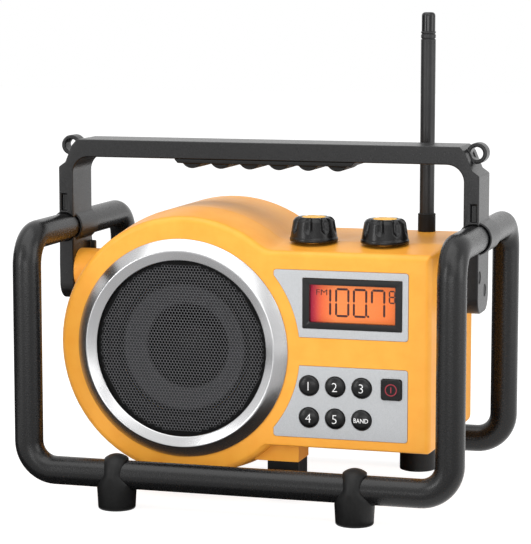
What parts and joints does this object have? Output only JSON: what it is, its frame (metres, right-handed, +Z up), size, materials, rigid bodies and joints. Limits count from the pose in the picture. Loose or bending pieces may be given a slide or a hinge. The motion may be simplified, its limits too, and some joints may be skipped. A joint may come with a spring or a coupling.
{
  "type": "jobsite radio",
  "caption": "Rugged battery radio with a round speaker drum, lit display, preset buttons and knobs, hung in a tubular roll cage by a carrying handle with eyelets.",
  "frame": {"origin": "on the ground under the middle of the cage", "axes": "+X to the radio's right as seen from the front, +Y to the rear, +Z up; the speaker faces -Y"},
  "size_m": [0.3234, 0.2224, 0.341],
  "materials": {
    "cage_paint": "fine textured powder coat",
    "yellow_plastic": "satin moulded",
    "black_plastic": "fine grained",
    "gloss_black": "smooth",
    "rubber": "matte",
    "chrome": "polished",
    "silver_panel": "satin silver",
    "grille_mesh": "black perforated",
    "steel": "plated",
    "ferrite": "sintered",
    "cone_paper": "fibrous",
    "spider_cloth": "resin treated",
    "copper": "enamelled wire",
    "clear_window": "clear",
    "lcd": "amber backlit",
    "circuit_board": "solder masked",
    "cell_jacket": "printed sleeve"
  },
  "bodies": {
    "radio": {"cage_front": "cage_paint", "cage_rear": "cage_paint", "cage_plugs": "steel", "cage_feet": "rubber", "front_shell": "yellow_plastic", "rear_shell": "yellow_plastic", "body_feet": "rubber", "handle": "black_plastic", "handle_grip": "rubber", "handle_screws": "steel", "case_screws": "steel", "speaker_bezel": "chrome", "speaker_grille": "grille_mesh", "speaker_basket": "steel", "speaker_magnet": "ferrite", "speaker_yoke": "steel", "cone_surround": "rubber", "cone_spider": "spider_cloth", "display_panel": "silver_panel", "button_panel": "silver_panel", "display_bezel": "gloss_black", "display_window": "clear_window", "lcd_module": "lcd", "button_board": "circuit_board", "button_switches": "steel", "volume_pot": "steel", "tuning_encoder": "steel", "control_nuts": "steel", "main_board": "circuit_board", "board_components": "gloss_black", "ferrite_rod": "ferrite", "rod_coil": "copper", "battery_box": "black_plastic", "battery_cells": "cell_jacket", "battery_contacts": "steel", "dc_jack": "gloss_black", "antenna_socket": "black_plastic", "antenna_sleeve": "rubber"},
    "volume": {"volume_knob": "black_plastic", "volume_knob_cap": "yellow_plastic", "volume_shaft": "steel"},
    "tuning": {"tuning_knob": "black_plastic", "tuning_knob_cap": "yellow_plastic", "tuning_shaft": "steel"},
    "preset_1": {"preset_button_1": "gloss_black"},
    "preset_2": {"preset_button_2": "gloss_black"},
    "preset_3": {"preset_button_3": "gloss_black"},
    "preset_4": {"preset_button_4": "gloss_black"},
    "preset_5": {"preset_button_5": "gloss_black"},
    "band": {"band_button": "gloss_black"},
    "power": {"power_button": "gloss_black"},
    "antenna": {"antenna_mast": "rubber", "antenna_tip": "gloss_black"},
    "door": {"battery_door": "yellow_plastic"},
    "latch": {"door_latch": "black_plastic"},
    "inlet_cover": {"jack_cover": "rubber"},
    "cone": {"speaker_cone": "cone_paper", "dust_cap": "cone_paper", "voice_coil": "copper"}
  },
  "joints": [
    {"name": "volume_turn", "type": "hinge", "parent": "radio", "child": "volume", "pos_m": [0.0395, -0.036, 0.184], "axis": [0, 0, 1], "range_deg": [-150, 150]},
    {"name": "tuning_turn", "type": "hinge", "parent": "radio", "child": "tuning", "pos_m": [0.0901, -0.036, 0.184], "axis": [0, 0, 1], "continuous": true},
    {"name": "preset_1_press", "type": "slide", "parent": "radio", "child": "preset_1", "axis": [0, 1, 0], "range_m": [0, 0.001], "stiffness_N_per_m": 1000},
    {"name": "preset_2_press", "type": "slide", "parent": "radio", "child": "preset_2", "axis": [0, 1, 0], "range_m": [0, 0.001], "stiffness_N_per_m": 1000},
    {"name": "preset_3_press", "type": "slide", "parent": "radio", "child": "preset_3", "axis": [0, 1, 0], "range_m": [0, 0.001], "stiffness_N_per_m": 1000},
    {"name": "preset_4_press", "type": "slide", "parent": "radio", "child": "preset_4", "axis": [0, 1, 0], "range_m": [0, 0.001], "stiffness_N_per_m": 1000},
    {"name": "preset_5_press", "type": "slide", "parent": "radio", "child": "preset_5", "axis": [0, 1, 0], "range_m": [0, 0.001], "stiffness_N_per_m": 1000},
    {"name": "band_press", "type": "slide", "parent": "radio", "child": "band", "axis": [0, 1, 0], "range_m": [0, 0.001], "stiffness_N_per_m": 1000},
    {"name": "power_press", "type": "slide", "parent": "radio", "child": "power", "axis": [0, 1, 0], "range_m": [0, 0.001], "stiffness_N_per_m": 1000},
    {"name": "antenna_bend", "type": "hinge", "parent": "radio", "child": "antenna", "pos_m": [0.1005, 0.05, 0.187], "axis": [0, 1, 0], "range_deg": [-30, 30], "stiffness_Nm_per_rad": 0.6, "deforming": ["antenna_sleeve"]},
    {"name": "door_swing", "type": "hinge", "parent": "radio", "child": "door", "pos_m": [-0.044, 0.0627, 0.077], "axis": [-1, 0, 0], "range_deg": [0, 100]},
    {"name": "latch_turn", "type": "hinge", "parent": "door", "child": "latch", "pos_m": [-0.044, 0.06, 0.1445], "axis": [0, -1, 0], "range_deg": [0, 90]},
    {"name": "cover_swing", "type": "hinge", "parent": "radio", "child": "inlet_cover", "pos_m": [0.104, 0.0622, 0.082], "axis": [1, 0, 0], "range_deg": [0, 150], "stiffness_Nm_per_rad": 0.001},
    {"name": "cone_travel", "type": "slide", "parent": "radio", "child": "cone", "axis": [0, -1, 0], "range_m": [-0.001, 0.001], "stiffness_N_per_m": 1500}
  ]
}
